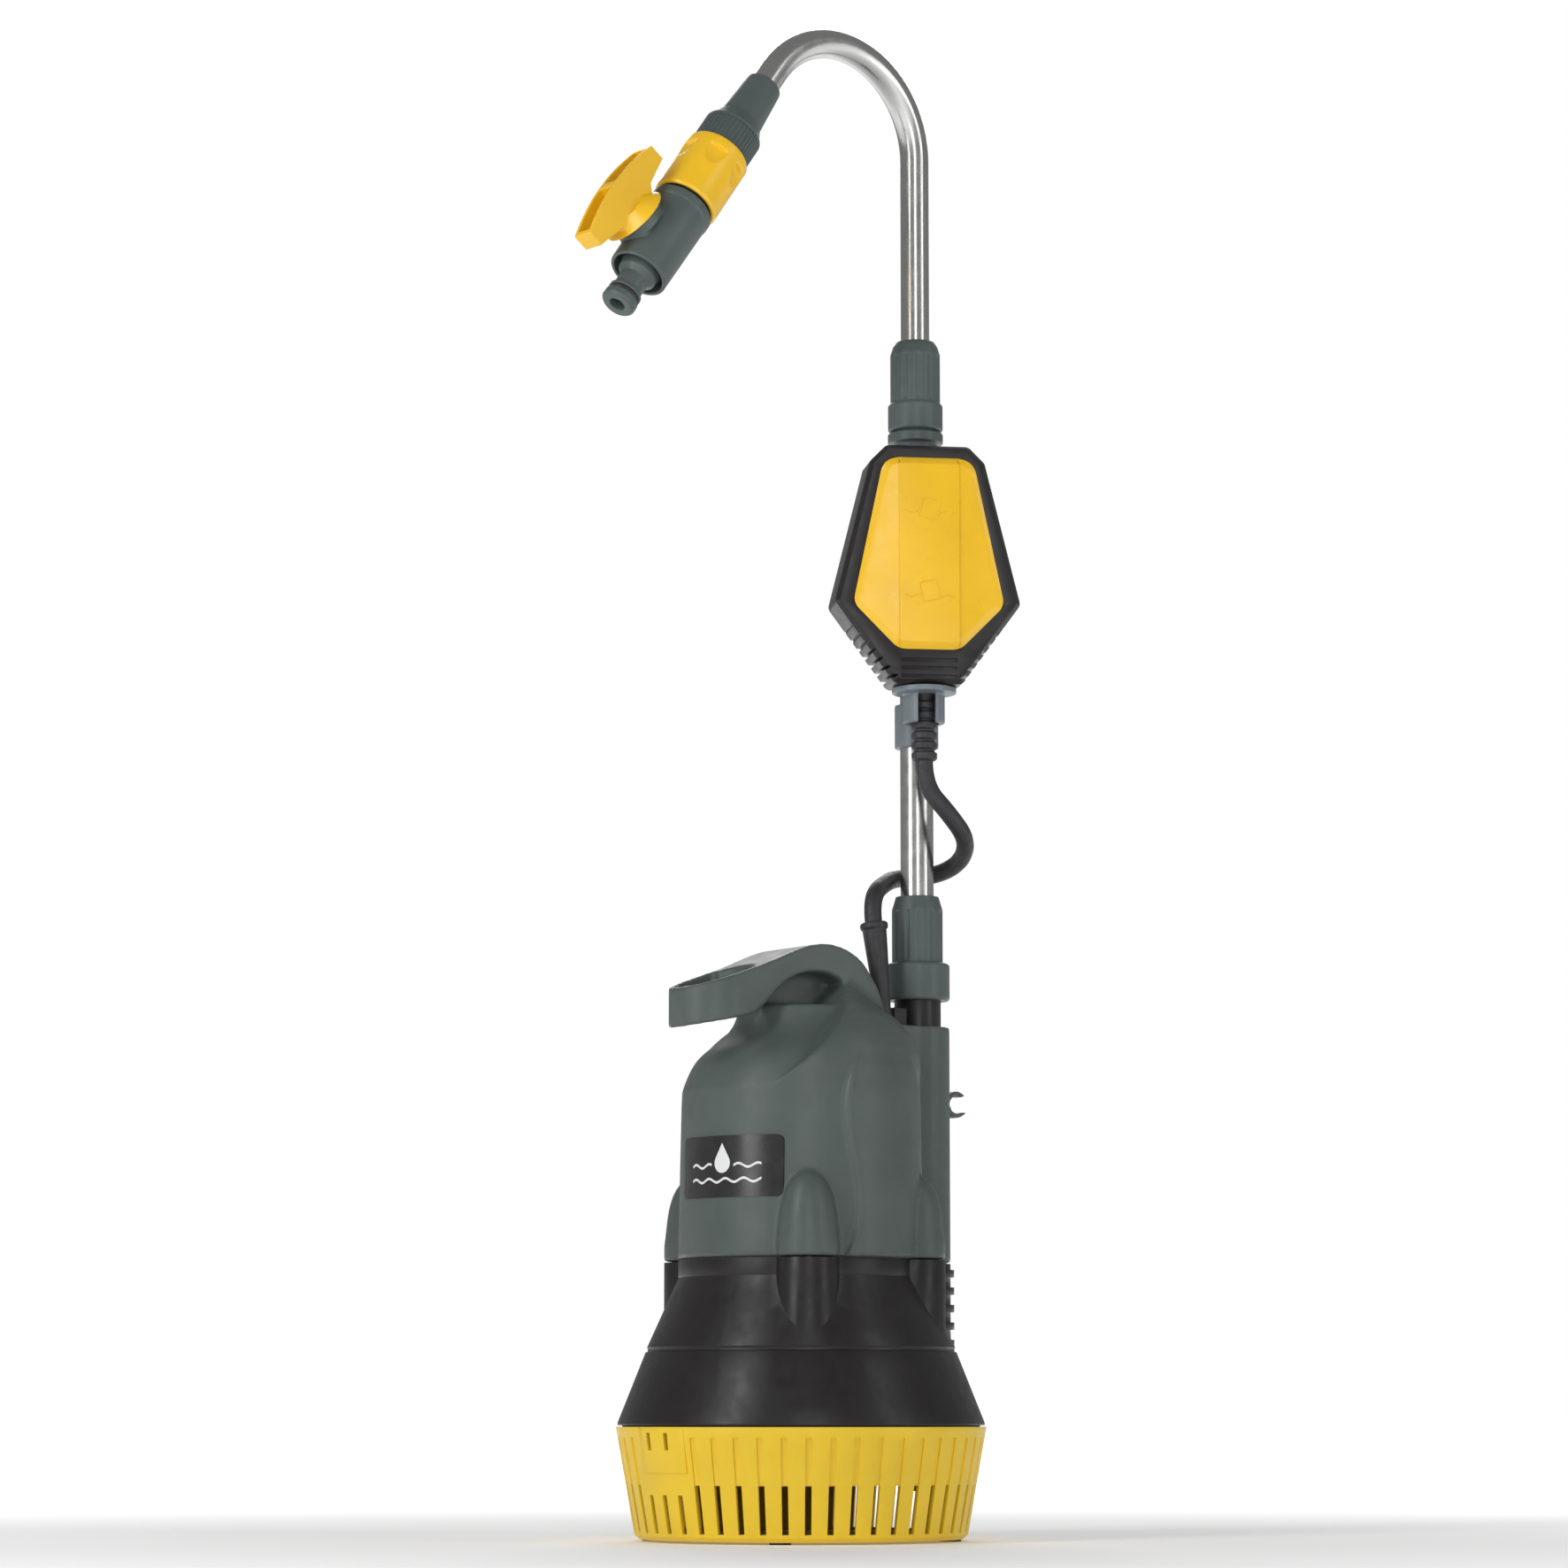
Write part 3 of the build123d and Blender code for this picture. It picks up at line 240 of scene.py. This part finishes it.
for entry in frame["record"]["subparts"]:
    cad = frame["nodes"][entry["node"]]
    cad.data.materials.clear()
    cad.data.materials.append(materials[entry["material_slot"]])


# ---- piece helpers ---------------------------------------------------------------
def finish_piece(obj, body, slot, *nodes):
    """Put a piece on its body, in its slot, in place of CAD nodes."""
    obj.data.materials.clear()
    obj.data.materials.append(materials[slot])
    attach(obj, body)
    if nodes:
        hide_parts(*nodes)
    return obj


def linked(name, data):
    """A new object in the scene."""
    obj = bpy.data.objects.new(name, data)
    scene.collection.objects.link(obj)
    return obj


def bake_modifiers(obj):
    """Make an object's modifiers part of its mesh."""
    bpy.context.view_layer.update()
    evaluated = obj.evaluated_get(bpy.context.evaluated_depsgraph_get())
    mesh = bpy.data.meshes.new_from_object(evaluated)
    obj.modifiers.clear()
    obj.data = mesh
    return obj


def body_of(node):
    """The body that a CAD node rides on."""
    bodies = frame["record"]["behaviour"]["bodies"]
    return next(body for body, members in bodies.items() if node in members)


def slot_of(node):
    """The material slot of a CAD node."""
    return next(e["material_slot"] for e in frame["record"]["subparts"] if e["node"] == node)


# ---- float cable -------------------------------------------------------------------
relief_foot = box_centre("float_cable_relief")
relief_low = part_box("float_cable_relief")[0][2]
cable_route = [
    (relief_foot.x, relief_foot.y, relief_low),
    (relief_foot.x, relief_foot.y, 0.358),
    (0.0252, 0.0691, 0.345),
    (0.0233, 0.0820, 0.333),
    (0.0079, 0.0897, 0.324),
    (-0.0096, 0.0873, 0.319),
    (-0.0195, 0.0740, 0.318),
    (-0.0120, 0.0600, 0.315),
    (0.001027, 0.040330, 0.305129),
    (0.002475, 0.040988, 0.292227),
]
cable_curve = bpy.data.curves.new("float_cable_sheath", "CURVE")
cable_curve.dimensions = "3D"
cable_curve.bevel_depth = 4.25 * MM
cable_curve.bevel_resolution = 6
cable_curve.resolution_u = 24
cable_curve.use_fill_caps = True
cable_line = cable_curve.splines.new("NURBS")
cable_line.points.add(len(cable_route) - 1)
for point, where in zip(cable_line.points, cable_route):
    point.co = (*where, 1)
cable_line.order_u = 3
cable_line.use_endpoint_u = True
cable = linked("float_cable_sheath", cable_curve)
finish_piece(cable, "pump", "cable_black", "float_cable")


# ---- mouldings taken from the CAD's shape, with melted edges -----------------------
def softened(name, node, voxel, rounds, turn=None):
    """A CAD node's shape with its edges rounded like a moulding's, meshed along its own axes."""
    obj = linked(name, frame["nodes"][node].data.copy())
    if turn:
        obj.data.transform(turn.inverted())
    remesh = obj.modifiers.new("remesh", "REMESH")
    remesh.mode = "VOXEL"
    remesh.voxel_size = voxel
    smooth = obj.modifiers.new("smooth", "SMOOTH")
    smooth.factor = 0.5
    smooth.iterations = rounds
    bake_modifiers(obj)
    if turn:
        obj.data.transform(turn)
    obj.data.shade_smooth()
    return finish_piece(obj, body_of(node), slot_of(node), node)


def eased(name, node, width, segments=2):
    """A CAD node's shape with bevelled edges."""
    mesh = frame["nodes"][node].data.copy()
    shape = bmesh.new()
    shape.from_mesh(mesh)
    bmesh.ops.remove_doubles(shape, verts=shape.verts, dist=2e-6)
    bmesh.ops.dissolve_limit(shape, angle_limit=0.003, verts=shape.verts, edges=shape.edges)
    shape.to_mesh(mesh)
    shape.free()
    obj = linked(name, mesh)
    bevel = obj.modifiers.new("bevel", "BEVEL")
    bevel.width = width
    bevel.segments = segments
    bevel.limit_method = "ANGLE"
    bevel.angle_limit = math.radians(28)
    bevel.harden_normals = False
    bake_modifiers(obj)
    obj.data.shade_smooth()
    obj.data.set_sharp_from_angle(angle=math.radians(40))
    return finish_piece(obj, body_of(node), slot_of(node), node)


def relax(obj, low, high, rounds):
    """Blend the creases inside a box of the mesh, in millimetres."""
    group = obj.vertex_groups.new(name="blend")
    low, high = Vector(low) * MM, Vector(high) * MM
    fade = 5 * MM
    for vertex in obj.data.vertices:
        inside = min(min(vertex.co[i] - low[i], high[i] - vertex.co[i]) for i in range(3))
        if inside > 0:
            group.add([vertex.index], min(1.0, inside / fade), "REPLACE")
    smooth = obj.modifiers.new("blend", "SMOOTH")
    smooth.factor = 0.5
    smooth.iterations = rounds
    smooth.vertex_group = "blend"
    bake_modifiers(obj)
    obj.vertex_groups.clear()
    return obj


shell = softened("motor_shell", "upper_shell", 1.0 * MM, 5)
relax(shell, (-48, -40, 236), (48, 39, 272), 22)
shell.data.materials.clear()
shell.data.materials.append(materials["shell_green"])
eased("strainer_cup", "strainer_base", 0.35 * MM)
eased("pump_housing", "lower_housing", 0.5 * MM)
eased("float_case", "float_frame", 0.6 * MM, 3)
softened("tap_body", "valve_body", 0.4 * MM, 5, spout_turn)
softened("tap_lever_wing", "valve_lever", 0.3 * MM, 6, spout_turn)
softened("hose_tip", "valve_nipple", 0.3 * MM, 3, spout_turn)
softened("float_clip", "float_holder", 0.4 * MM, 4)
softened("cable_boot", "float_cable_relief", 0.3 * MM, 3)
softened("lower_nut_moulding", "lower_clamp_nut", 0.45 * MM, 4)
softened("upper_nut_moulding", "upper_clamp_nut", 0.42 * MM, 4)
softened("tube_socket", "upper_socket", 0.4 * MM, 3)
softened("spout_grip", "spout_sleeve", 0.4 * MM, 3, spout_turn)
softened("stub_moulding", "discharge_stub", 0.4 * MM, 3)
softened("sleeve_moulding", "cable_sleeve", 0.35 * MM, 3)


# ---- click collar with its finger dimples ------------------------------------------
def lathe(name, where, profile, sides, dent=None, step=0.9):
    """A closed (radius, height) profile turned about a place's axis, in millimetres."""
    outline = []
    for (r0, s0), (r1, s1) in zip(profile, profile[1:] + profile[:1]):
        parts = max(1, round(math.hypot(r1 - r0, s1 - s0) / step))
        outline += [(r0 + (r1 - r0) * i / parts, s0 + (s1 - s0) * i / parts) for i in range(parts)]
    points, faces = [], []
    for side in range(sides):
        turn = 2 * math.pi * side / sides
        for r, along in outline:
            if dent:
                r -= dent(r, along, turn)
            points.append((r * math.cos(turn), r * math.sin(turn), along))
    count = len(outline)
    for side in range(sides):
        here, there = side * count, (side + 1) % sides * count
        for i in range(count):
            j = (i + 1) % count
            faces.append((here + i, there + i, there + j, here + j))
    mesh = bpy.data.meshes.new(name)
    mesh.from_pydata(points, [], faces)
    mesh.transform(where)
    shape = bmesh.new()
    shape.from_mesh(mesh)
    bmesh.ops.recalc_face_normals(shape, faces=shape.faces)
    shape.to_mesh(mesh)
    shape.free()
    mesh.shade_smooth()
    mesh.set_sharp_from_angle(angle=math.radians(35))
    return linked(name, mesh)


dimple_start, dimple_long, dimple_deep = 65.0, 11.0, 1.8
collar_outside = 15.5


def collar_dimple(r, along, turn):
    """Depth of the six thumb dimples on the collar's outside, clear of its skirt."""
    if r < collar_outside or along < dimple_start:
        return 0.0
    across = ((turn - math.pi / 6) % (math.pi / 3) - math.pi / 6) * 16.0 / 5.4
    down = (along - dimple_start) / dimple_long
    deep = max(0.0, 1 - across * across - down * down) ** 0.75
    return dimple_deep * deep * min(1.0, (along - dimple_start) / 0.7)


collar = lathe("click_collar", spout_place, [
    (15.2, 59.6), (15.7, 59.7), (16.0, 60.2), (16.0, 92.6), (15.8, 93.4), (15.2, 94.0),
    (14.4, 94.1), (14.05, 93.8), (14.05, 76.0), (12.95, 75.0), (12.95, 66.0), (15.1, 64.6),
    (15.1, 59.9),
], 240, collar_dimple, 0.7)
finish_piece(collar, "collar", "coupling_yellow", "coupling_collar")


# ---- float cover, faceted, with two plain float marks ---------------------------------
float_turn = math.radians(63.0)
float_out = Vector((math.sin(float_turn), -math.cos(float_turn), 0))
float_right = Vector((math.cos(float_turn), math.sin(float_turn), 0))
float_turned = Matrix((float_right, (0, 0, 1), float_out)).transposed().to_4x4()
float_place = Matrix.Translation((relief_foot.x, relief_foot.y, 0)) @ float_turned @ Matrix.Scale(MM, 4)


def inset(points, amount):
    """A convex anticlockwise outline moved inwards."""
    moved = []
    for before, here, after in zip(points[-1:] + points[:-1], points, points[1:] + points[:1]):
        a, b, c = Vector(before), Vector(here), Vector(after)
        n0 = Vector((-(b - a).y, (b - a).x)).normalized()
        n1 = Vector((-(c - b).y, (c - b).x)).normalized()
        moved.append(tuple(b + (n0 + n1) * amount / (1 + n0.dot(n1))))
    return moved


def rounded(points, radius, parts=5):
    """An outline with each corner turned into a short curve."""
    result = []
    for before, here, after in zip(points[-1:] + points[:-1], points, points[1:] + points[:1]):
        a, b, c = Vector(before), Vector(here), Vector(after)
        start = b + (a - b).normalized() * min(radius, (a - b).length * 0.45)
        end = b + (c - b).normalized() * min(radius, (c - b).length * 0.45)
        for i in range(parts + 1):
            t = i / parts
            result.append(tuple(start * (1 - t) ** 2 + b * 2 * t * (1 - t) + end * t * t))
    return result


band_half, band_proud, face_depth, rim_wide = 14.4, 18.35, 15.5, 3.4
cover_outline = [
    (-15.0, 422.0), (15.0, 422.0), (36.8, 444.0), (22.5, 512.0), (17.0, 515.5),
    (-17.0, 515.5), (-22.5, 512.0), (-36.8, 444.0),
]


def facet_depth(x, rim):
    """How far the cover stands out at a point across it."""
    if rim:
        return face_depth + 0.2
    beyond = abs(x) - band_half
    if beyond <= 0.01:
        return band_proud
    return band_proud - 0.75 - 0.08 * beyond


outer = rounded(cover_outline, 4.0)
inner = inset(outer, rim_wide)
cover_mesh = bmesh.new()
outer_points = [cover_mesh.verts.new((x, z, 0)) for x, z in outer]
inner_points = [cover_mesh.verts.new((x, z, 1)) for x, z in inner]
cover_mesh.faces.new(inner_points)
for i in range(len(outer)):
    j = (i + 1) % len(outer)
    cover_mesh.faces.new((outer_points[i], outer_points[j], inner_points[j], inner_points[i]))
for cut in (-band_half - 0.5, -band_half, band_half, band_half + 0.5):
    everything = cover_mesh.verts[:] + cover_mesh.edges[:] + cover_mesh.faces[:]
    bmesh.ops.bisect_plane(cover_mesh, geom=everything, plane_co=(cut, 0, 0), plane_no=(1, 0, 0))
for vertex in cover_mesh.verts:
    vertex.co.z = facet_depth(vertex.co.x, vertex.co.z < 0.5)
edge_loop = [edge for edge in cover_mesh.edges if edge.is_boundary]
pulled = bmesh.ops.extrude_edge_only(cover_mesh, edges=edge_loop)["geom"]
for item in pulled:
    if isinstance(item, bmesh.types.BMVert):
        item.co.z = face_depth - 3.6
bmesh.ops.holes_fill(cover_mesh, edges=[e for e in cover_mesh.edges if e.is_boundary], sides=0)
bmesh.ops.recalc_face_normals(cover_mesh, faces=cover_mesh.faces)
cover_data = bpy.data.meshes.new("float_cover_face")
cover_mesh.to_mesh(cover_data)
cover_mesh.free()
cover_data.transform(float_place)
cover = linked("float_cover_face", cover_data)
cover_bevel = cover.modifiers.new("bevel", "BEVEL")
cover_bevel.width = 0.45 * MM
cover_bevel.segments = 3
cover_bevel.limit_method = "ANGLE"
cover_bevel.angle_limit = math.radians(12)
bake_modifiers(cover)
cover.data.shade_smooth()
cover.data.set_sharp_from_angle(angle=math.radians(30))
finish_piece(cover, "pump", slot_of("float_front_cover"), "float_front_cover")


def bead(name, lines, radius, where):
    """Thin raised lines moulded on a face, each a list of points in millimetres."""
    curve = bpy.data.curves.new(name, "CURVE")
    curve.dimensions = "3D"
    curve.bevel_depth = radius * MM
    curve.bevel_resolution = 2
    for points, closed in lines:
        line = curve.splines.new("POLY")
        line.points.add(len(points) - 1)
        for point, place_ in zip(line.points, points):
            point.co = (*(where @ Vector(place_)), 1)
        line.use_cyclic_u = closed
    return linked(name, curve)


def float_mark(z, lean, drop):
    """A plain sign for a float at a water line: a leaning box on a wavy line."""
    lean = math.radians(lean)
    box = rounded([(-4.4, -4.8), (4.4, -4.8), (4.4, 4.8), (-4.4, 4.8)], 1.6, 3)
    turned_box = [
        (x * math.cos(lean) - y * math.sin(lean),
         z + drop + x * math.sin(lean) + y * math.cos(lean), band_proud)
        for x, y in box
    ]
    steps = (i * 0.5 - 12.0 for i in range(49))
    water = [(x, z - 1.5 + 0.5 * math.sin(x * 0.9), band_proud) for x in steps]
    return [(turned_box, True), (water[:15], False), (water[-15:], False)]


mark_lines = float_mark(490.0, -14.0, 0.0) + float_mark(449.0, 12.0, 1.0)
marks = bead("float_marks", mark_lines, 0.32, float_place)
finish_piece(marks, "pump", slot_of("float_front_cover"))


# ---- label print: a drop over waves ----------------------------------------------------
label_turn = math.radians(15.5)
label_high = 172.1
label_r, label_lean = 57.66, 0.5 / 40.0
label_columns = 8


def label_patch(name, strips):
    """Printed shapes on the label, from rows of (left, right, height) in millimetres."""
    points, faces = [], []
    for strip in strips:
        first = len(points)
        for left, right, high in strip:
            radius = label_r - high * label_lean
            for i in range(label_columns + 1):
                across = left + (right - left) * i / label_columns
                bearing = label_turn + across / 57.5
                side, front = radius * math.sin(bearing), -radius * math.cos(bearing)
                points.append((side * MM, front * MM, (label_high + high) * MM))
        for row in range(len(strip) - 1):
            for i in range(label_columns):
                corner = first + row * (label_columns + 1) + i
                above = corner + label_columns + 1
                faces.append((corner, corner + 1, above + 1, above))
    mesh = bpy.data.meshes.new(name)
    mesh.from_pydata(points, [], faces)
    obj = linked(name, mesh)
    thick = obj.modifiers.new("thick", "SOLIDIFY")
    thick.thickness = 0.12 * MM
    thick.offset = 0
    bake_modifiers(obj)
    return obj


def drop_rows(centre, base, size):
    """A water drop: a circle, and two lines from its sides up to the tip."""
    tall = size * 3.0
    reach_up = tall - size
    meets = size + size * size / reach_up
    meets_half = size * math.sqrt(1 - (size / reach_up) ** 2)
    rows = []
    for i in range(41):
        high = tall * (1 - math.cos(math.pi * i / 40)) / 2
        if high < meets:
            half = math.sqrt(max(0.0, size * size - (high - size) ** 2))
        else:
            half = meets_half * (tall - high) / (tall - meets)
        half = max(half, 0.05)
        rows.append((centre - half, centre + half, base + high))
    return rows


def wave_strips(left, right, base, swing, wide):
    """One wavy line, as short upright strips."""
    count = round((right - left) / 0.25)
    strip = []
    for i in range(count):
        x0 = left + (right - left) * i / count
        x1 = left + (right - left) * (i + 1) / count
        y = base + swing * math.sin((x0 - left) * 0.62)
        strip.append([(x0, x1, y - wide / 2), (x0, x1, y + wide / 2)])
    return strip


print_material = plastic("label_print", srgb(226, 228, 228), (0.3, 0.4), depth=0.03, tone=0.03)
print_shapes = [drop_rows(0.0, -3.0, 4.6)]
print_shapes += wave_strips(-21.0, -6.6, 0.4, 0.9, 1.1) + wave_strips(6.6, 21.0, 0.4, 0.9, 1.1)
print_shapes += wave_strips(-21.0, 21.0, -6.4, 0.9, 1.1)
label_print = label_patch("label_print", print_shapes)
label_print.data.materials.append(print_material)
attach(label_print, "pump")

# ---- stage ---------------------------------------------------------------------
floor_mesh = bpy.data.meshes.new("floor")
reach = 30.0
floor_corners = [(-reach, -reach, 0), (reach, -reach, 0), (reach, reach, 0), (-reach, reach, 0)]
floor_mesh.from_pydata(floor_corners, [], [(0, 1, 2, 3)])
floor = linked("floor", floor_mesh)
floor_material = Nodes("floor")
floor_material.shader.inputs["Base Color"].default_value = (0.9, 0.9, 0.9, 1)
floor_material.shader.inputs["Roughness"].default_value = 0.75
# painted light: the floor glows, dim near the pump and rising to near white further out, so it fades into the
# white backdrop
spread = floor_material.add("ShaderNodeVectorMath", operation="LENGTH")
floor_material.link(floor_material.coords, spread.inputs[0])
painted_floor_glow = floor_material.add("ShaderNodeMapRange", interpolation_type="SMOOTHSTEP")
painted_floor_glow.inputs["From Min"].default_value = 0.15
painted_floor_glow.inputs["From Max"].default_value = 1.6
painted_floor_glow.inputs["To Min"].default_value = 0.12
painted_floor_glow.inputs["To Max"].default_value = 0.95
floor_material.link(spread.outputs["Value"], painted_floor_glow.inputs["Value"])
floor_material.shader.inputs["Emission Color"].default_value = (1, 1, 1, 1)
floor_material.link(painted_floor_glow.outputs["Result"], floor_material.shader.inputs["Emission Strength"])
floor_mesh.materials.append(floor_material.material)

world = bpy.data.worlds.new("studio")
scene.world = world
world.use_nodes = True
background = world.node_tree.nodes["Background"]
background.inputs["Color"].default_value = (1.0, 1.0, 1.0, 1)
seen = world.node_tree.nodes.new("ShaderNodeLightPath")
level = world.node_tree.nodes.new("ShaderNodeMapRange")
level.inputs["To Min"].default_value = 0.29
level.inputs["To Max"].default_value = 1.0
world.node_tree.links.new(seen.outputs["Is Camera Ray"], level.inputs["Value"])
world.node_tree.links.new(level.outputs["Result"], background.inputs["Strength"])


def softbox(name, turn_from_camera, height, distance, size, power):
    """A rectangular softbox on a bearing from the camera's, aimed at the pump."""
    light = bpy.data.lights.new(name, "AREA")
    light.shape = "RECTANGLE"
    light.size, light.size_y = size
    light.energy = power
    lamp = bpy.data.objects.new(name, light)
    scene.collection.objects.link(lamp)
    bearing = view_turn + math.radians(turn_from_camera)
    lamp.location = (math.sin(bearing) * distance, -math.cos(bearing) * distance, height)
    lamp.rotation_mode = "QUATERNION"
    lamp_aim = Vector((0, 0, 0.35))
    lamp.rotation_quaternion = (lamp_aim - lamp.location).to_track_quat("-Z", "Y")


softbox("key", -48.0, 1.1, 1.9, (0.55, 1.7), 17.0)
softbox("front", 6.0, 0.9, 2.6, (0.5, 1.5), 10.0)
softbox("fill", 62.0, 0.8, 1.9, (0.35, 1.7), 5.5)
softbox("rear", 180.0, 1.6, 1.8, (1.2, 0.8), 14.0)
